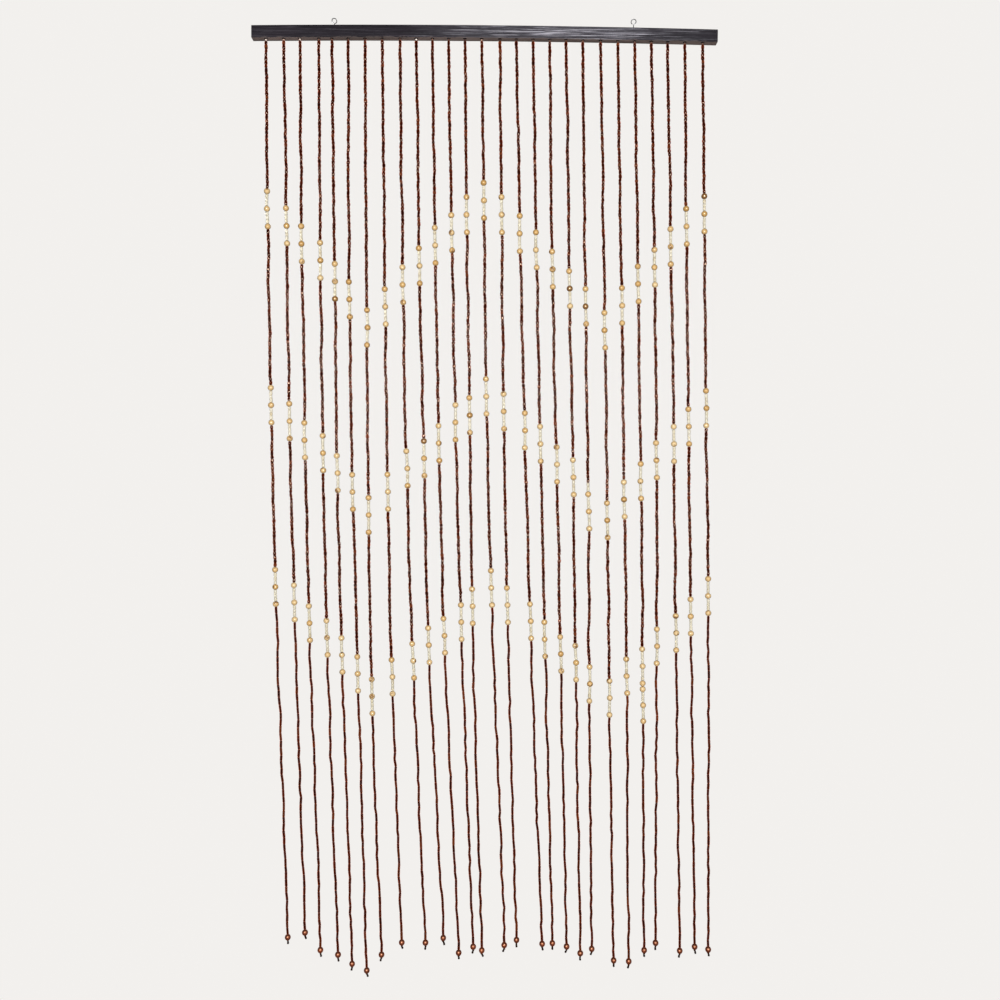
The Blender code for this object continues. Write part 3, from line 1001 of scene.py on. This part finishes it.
def natural_lacquer():
    mat, tree, shader = blank_finish("natural_lacquered_wood")
    tone, own = bead_attributes(tree)
    body = ramp(
        tree, tone,
        (0.0, (0.82, 0.61, 0.33)), (0.45, (0.71, 0.45, 0.18)),
        (0.66, (0.56, 0.32, 0.100)), (0.78, (0.32, 0.145, 0.034)), (1.0, (0.20, 0.080, 0.018)))
    rings = stretched_noise(tree, own, (420, 420, 90), detail=5, distortion=0.8, roughness=0.6)
    body = mix(tree, window(tree, rings, 0.42, 0.76), body, (0.80, 0.66, 0.46), "MULTIPLY")
    knots = window(tree, stretched_noise(tree, own, (70, 70, 70), detail=2, distortion=0.4), 0.60, 0.67)
    body = mix(tree, times(tree, knots, 0.85), body, KNOT_COLOUR)
    # Darker round each bore: partly lacquer gathered there, partly painted shade where the bead's top and
    # bottom turn from the light.
    body = mix(tree, near_bores(tree, 0.40, 0.50), body, (0.70, 0.58, 0.44), "MULTIPLY")
    level = maths(tree, "MULTIPLY_ADD", window(tree, tone, 0.55, 0.85), 0.50, 0.18)
    finish_with(
        shader, Base_Color=body, Specular_IOR_Level=level, Roughness=0.44, IOR=2.6,
        Specular_Tint=(1.0, 0.80, 0.52), Coat_Weight=0.8, Coat_Roughness=0.14)
    bump(tree, shader, rings, 0.2, 0.0003)
    return mat


def batch(middle, spread):
    """Tones of one batch of wood: most beads near its middle, a few far from it."""
    return lambda rng, count: np.clip(rng.normal(middle, spread, count), 0.0, 1.0)


natural_wood = natural_lacquer()
print("finish:", natural_wood.name)

# %% Thread the natural beads
# Columns: the band, and the middle and the spread of its batch's tones.
NATURAL_BATCHES = (("top", 0.36, 0.20), ("middle", 0.25, 0.19), ("bottom", 0.14, 0.18))

natural_form = turned(round_profile(11, 0.13, 0.05), 20, drilled=True)
for band, (place, middle, spread) in enumerate(NATURAL_BATCHES):
    string_up(
        f"natural_beads_{place}_band", natural_form, of_kind(f"natural_{band}"), NATURAL_WIDTH,
        natural_wood, seed=40 + band, spread=0.04, tones=batch(middle, spread))

# %% [markdown]
# ## The end beads
#
# A single larger bead weighs each strand's foot. It is stained copper brown and lacquered thick, so it shows
# one bright spot of light. Its rim is dark: at the sides because the light falls off there, and at the top
# and bottom by painted shade round the bores.

# %% Stain and thread the end beads
END_WIDTH = 11.8 * MM


def copper_lacquer():
    mat, tree, shader = blank_finish("copper_brown_lacquer")
    tone, own = bead_attributes(tree)
    body = ramp(
        tree, tone,
        (0.0, (0.13, 0.012, 0.002)), (0.6, (0.19, 0.020, 0.003)), (1.0, (0.27, 0.042, 0.007)))
    rings = stretched_noise(tree, own, (300, 300, 80), detail=4, distortion=0.6)
    body = mix(tree, window(tree, rings, 0.30, 0.80), body, (0.45, 0.32, 0.25), "MULTIPLY")
    # Painted shade: the bead turns dark towards its top and bottom bores, for the dark rim round its lit
    # front.
    body = mix(tree, near_bores(tree, 0.14, 0.40), body, (0.20, 0.12, 0.10), "MULTIPLY")
    finish_with(
        shader, Base_Color=body, Roughness=0.48, Specular_IOR_Level=0.95, IOR=2.6,
        Specular_Tint=(1.0, 0.46, 0.26), Coat_Weight=0.10, Coat_Roughness=0.12,
        Sheen_Weight=0.3, Sheen_Roughness=0.5, Sheen_Tint=RED_GLOW)
    bump(tree, shader, rings, 0.12, 0.0003)
    return mat


string_up(
    "end_beads", turned(round_profile(11, 0.13, 0.04), 20, drilled=True), of_kind("end"), END_WIDTH,
    copper_lacquer(), seed=50, spread=0.03)

# %% [markdown]
# ## Cords and knots
#
# One waxed cord holds each strand. It shows between beads as a hair, and in the knot under the
# end bead, which was sealed with a drop of dark stain and keeps a cut tail that sticks out askew.
# A tube skinned along a list of points does for all of them. The knot itself is a trefoil, the
# simplest curve that is truly knotted, pulled tight. In the groove on top of the rail each cord
# is knotted round a header cord.

# %% Helpers for cords
CORD_RADIUS = 0.55 * MM
KNOT_SIZE = 1.9 * MM


def skin_tube(bm, points, radius, sides, closed=False):
    """Adds a tube along points, round in section, and closed on itself or capped."""
    count = len(points)
    rings = []
    guide = Vector((0.3, 1.0, 0.2)).normalized()
    for k, point in enumerate(points):
        ahead = points[(k + 1) % count] if closed or k < count - 1 else point
        behind = points[k - 1] if closed or k > 0 else point
        along = (ahead - behind).normalized()
        out = (guide - along * guide.dot(along)).normalized()
        guide = out
        over = along.cross(out)
        here = radius[k] if isinstance(radius, list) else radius
        ring = []
        for s in range(sides):
            angle = 2 * math.pi * s / sides
            ring.append(bm.verts.new(point + (out * math.cos(angle) + over * math.sin(angle)) * here))
        rings.append(ring)
    for k in range(count if closed else count - 1):
        one, two = rings[k], rings[(k + 1) % count]
        for s in range(sides):
            nxt = (s + 1) % sides
            bm.faces.new((one[s], one[nxt], two[nxt], two[s]))
    if not closed:
        bm.faces.new(rings[0][::-1])
        bm.faces.new(rings[-1])


def trefoil(centre, size, tilt, steps=30):
    turn = Matrix.Rotation(tilt, 3, "Z") @ Matrix.Rotation(1.3, 3, "X")
    points = []
    for k in range(steps):
        t = 2 * math.pi * k / steps
        x, y = math.sin(t) + 2 * math.sin(2 * t), math.cos(t) - 2 * math.cos(2 * t)
        points.append(centre + turn @ Vector((x, y, -1.4 * math.sin(3 * t))) * (size / 3.0))
    return points


def cord_piece(name, bm, mat):
    bmesh.ops.recalc_face_normals(bm, faces=bm.faces)
    mesh = plain_mesh(name, bm)
    mesh.shade_smooth()
    piece = new_piece(name, mesh, mat)
    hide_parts("strands")
    print(name, "faces:", len(mesh.polygons))
    return piece


def waxed_cord(name, dark, light):
    mat, tree, shader = blank_finish(name)
    where = add(tree, "ShaderNodeTexCoord").outputs["Object"]
    twist = add(tree, "ShaderNodeTexWave", Vector=where, Scale=900.0, Distortion=1.5)
    twist.bands_direction = "DIAGONAL"
    colour = ramp(tree, twist.outputs["Fac"], (0.2, dark), (0.8, light))
    finish_with(shader, Base_Color=colour, Roughness=0.6, Specular_IOR_Level=0.04)
    bump(tree, shader, twist.outputs["Fac"], 0.5, 0.0002)
    return mat


dark_cord = waxed_cord("dark_waxed_cord", (0.010, 0.004, 0.002), (0.030, 0.011, 0.006))
print("finish:", dark_cord.name)

# %% Run the cords
STRIP_DROP = GROOVE_DEPTH - 1.5 * MM
HEADER_RADIUS = 0.7 * MM
HEADER_TWIST = 7 * MM
HEADER_MARGIN = 6 * MM
TAIL_LENGTH = 7.6 * MM
TAIL_RADII = (1.9 * MM, 1.8 * MM, 1.8 * MM, 2.0 * MM, 2.2 * MM, 1.7 * MM)


def strand_cords():
    bm = bmesh.new()
    for strand, beads in enumerate(strands):
        x = hole_x(strand)
        points = [Vector((x, HOLE_Y, crown(x) - down)) for down in (STRIP_DROP, RAIL_HEIGHT / 2)]
        points += [top for _, top, _ in beads]
        points.append(beads[-1][2])
        skin_tube(bm, points, CORD_RADIUS, 4)
    cord_piece("strand_cords", bm, dark_cord)


def end_knots():
    rng = random.Random(60)
    bm = bmesh.new()
    for beads in strands:
        foot = beads[-1][2] - Vector((0, 0, 0.9 * MM))
        skin_tube(bm, trefoil(foot, KNOT_SIZE, rng.uniform(0, 6)), 0.85 * MM, 6, closed=True)
        lean = Vector((rng.uniform(-0.5, 0.5), rng.uniform(-0.3, 0.3), -1.0)).normalized()
        curl = Vector((rng.uniform(-1, 1), rng.uniform(-1, 1), 0)) * 0.5 * MM
        length = TAIL_LENGTH * rng.uniform(0.75, 1.0)
        tail = [foot + lean * (length * k / 5) + curl * math.sin(k * 0.7) for k in range(6)]
        skin_tube(bm, tail, list(TAIL_RADII), 7)
    cord_piece("end_knots", bm, dark_cord)


def header_cord():
    bm = bmesh.new()
    half = RAIL_LENGTH / 2 - GROOVE_MARGIN - HEADER_MARGIN
    steps = 420
    for ply in (0, 1):
        points = []
        for k in range(steps + 1):
            x = half * (2.0 * k / steps - 1.0)
            angle = x * 2 * math.pi / HEADER_TWIST + ply * math.pi
            offset = Vector((0, math.cos(angle), math.sin(angle))) * HEADER_RADIUS * 0.9
            points.append(Vector((x, HOLE_Y, crown(x) - STRIP_DROP)) + offset)
        skin_tube(bm, points, HEADER_RADIUS, 5)
    for strand in range(STRAND_COUNT):
        x = hole_x(strand)
        knot = Vector((x, HOLE_Y, crown(x) - STRIP_DROP + 0.4 * MM))
        skin_tube(bm, trefoil(knot, 1.5 * MM, strand * 1.1), 0.6 * MM, 6, closed=True)
    cord_piece("header_cord", bm, dark_cord)


strand_cords()
end_knots()
header_cord()

# %% [markdown]
# ## Knots at the rail
#
# Right under the rail each strand carries a small stop knot that keeps the first bead out of the hole. Most
# knots took on the brown of the stain. On a few strands the knot is pale, and shows as a light dot at the
# rail's lower edge. Three turns of cord make the knot, and a tone for each strand picks its colour.

# %% Tie the stop knots
STOP_KNOT_DROP = 2.5 * MM
STOP_KNOT_RADIUS = 1.2 * MM
# Strands whose stop knot is pale, with the tone of each.
PALE_KNOT_TONES = {0: 0.9, 1: 0.65, 2: 0.85, 9: 1.0, 13: 0.6}


def knot_cord():
    mat, tree, shader = blank_finish("knotted_cord")
    colour = ramp(
        tree, attribute(tree, "tone"),
        (0.0, (0.060, 0.022, 0.014)), (0.4, (0.300, 0.150, 0.095)),
        (0.7, (0.620, 0.440, 0.350)), (1.0, (0.950, 0.860, 0.780)))
    finish_with(shader, Base_Color=colour, Roughness=0.6)
    return mat


def stop_knots():
    rng = random.Random(70)
    bm = bmesh.new()
    tones = []
    for strand in range(STRAND_COUNT):
        middle = hang(strand, mouth_drop(strand) + STOP_KNOT_DROP)
        tone = PALE_KNOT_TONES.get(strand, rng.uniform(0.0, 0.24))
        slant = rng.uniform(-0.4, 0.4)
        for turn, lift in enumerate((-0.95 * MM, 0.0, 0.95 * MM)):
            reach = STOP_KNOT_RADIUS * (1.15 if turn == 1 else 0.9)
            ring = []
            for k in range(14):
                angle = 2 * math.pi * k / 14
                out = Vector((math.cos(angle), math.sin(angle), slant * math.sin(angle)))
                ring.append(middle + out * reach + Vector((0, 0, lift)))
            skin_tube(bm, ring, 0.62 * MM, 6, closed=True)
            tones += [tone] * (14 * 6)
    piece = cord_piece("stop_knots", bm, knot_cord())
    note(piece.data, "tone", tones)


stop_knots()

# %% [markdown]
# ## The screw eyes
#
# The curtain hangs from two screw eyes of thin zinc-plated wire. Each is one wire: a threaded
# shank that turns into a ring and stops just short of itself. The ring is a tube along an arc,
# and the thread is a second, finer tube wound round the shank, which is how a rolled thread
# stands out of thin wire.

# %% Bend the screw eyes
EYE_Y = 3.5 * MM
EYE_WIRE_RADIUS = 0.75 * MM
EYE_RING_RADIUS = 4.75 * MM
EYE_SHANK_DEPTH = 10 * MM
SHANK_RADIUS = 0.62 * MM
EYE_ARC = (-72, 242)
THREAD_PITCH = 1.1 * MM

# Columns: the node, its place along the rail, the height of its ring's middle over the rail,
# and how many degrees it is turned about its shank.
EYES = (
    ("screw_eye_left", -291.5 * MM, 12.0 * MM, 24.0),
    ("screw_eye_right", 288.5 * MM, 15.5 * MM, -14.0),
)


def zinc_wire():
    mat, tree, shader = blank_finish("zinc_plated_wire")
    where = add(tree, "ShaderNodeTexCoord").outputs["Object"]
    haze = stretched_noise(tree, where, (500, 500, 900), detail=4)
    plating = ramp(tree, haze, (0.3, (0.22, 0.22, 0.23)), (0.7, (0.40, 0.40, 0.41)))
    rough = ramp(tree, haze, (0.3, (0.22,) * 3), (0.7, (0.42,) * 3))
    finish_with(shader, Base_Color=plating, Roughness=rough, Metallic=1.0)
    return mat


def bend_eye(node, x, height, turn, mat):
    bm = bmesh.new()
    neck = height - EYE_RING_RADIUS - 2 * EYE_WIRE_RADIUS
    path = [Vector((0, 0, z)) for z in (-EYE_SHANK_DEPTH, 0.0, neck)]
    radii = [0.55 * MM, SHANK_RADIUS, EYE_WIRE_RADIUS]
    start, end = EYE_ARC
    for k in range(41):
        angle = math.radians(start + (end - start) * k / 40)
        path.append(Vector((math.cos(angle), 0, math.sin(angle))) * EYE_RING_RADIUS + Vector((0, 0, height)))
        radii.append(EYE_WIRE_RADIUS)
    skin_tube(bm, path, radii, 10)
    thread = []
    thread_top = height - EYE_RING_RADIUS - 3.2 * MM
    turns = (thread_top + EYE_SHANK_DEPTH) / THREAD_PITCH
    steps = int(turns * 14)
    for k in range(steps + 1):
        angle = 2 * math.pi * turns * k / steps
        z = -EYE_SHANK_DEPTH + (thread_top + EYE_SHANK_DEPTH) * k / steps
        thread.append(Vector((math.cos(angle) * SHANK_RADIUS, math.sin(angle) * SHANK_RADIUS, z)))
    skin_tube(bm, thread, 0.2 * MM, 5)
    bmesh.ops.recalc_face_normals(bm, faces=bm.faces)
    spin = Matrix.Rotation(math.radians(turn), 3, "Z")
    bmesh.ops.rotate(bm, cent=(0, 0, 0), matrix=spin, verts=bm.verts)
    bmesh.ops.translate(bm, vec=(x, EYE_Y, crown(x)), verts=bm.verts)
    mesh = plain_mesh(node + "_wire", bm)
    mesh.shade_smooth()
    piece = new_piece(node + "_wire", mesh, mat)
    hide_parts(node)


wire_finish = zinc_wire()
for node, x, height, turn in EYES:
    bend_eye(node, x, height, turn, wire_finish)
print("screw eyes bent:", len(EYES))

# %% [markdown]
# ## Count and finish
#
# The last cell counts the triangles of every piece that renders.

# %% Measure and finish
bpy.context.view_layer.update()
counts = {}
for piece in bpy.data.objects:
    if piece.type == "MESH" and not piece.hide_render:
        piece.data.calc_loop_triangles()
        counts[piece.name] = len(piece.data.loop_triangles)
print("triangles:", sum(counts.values()), counts)
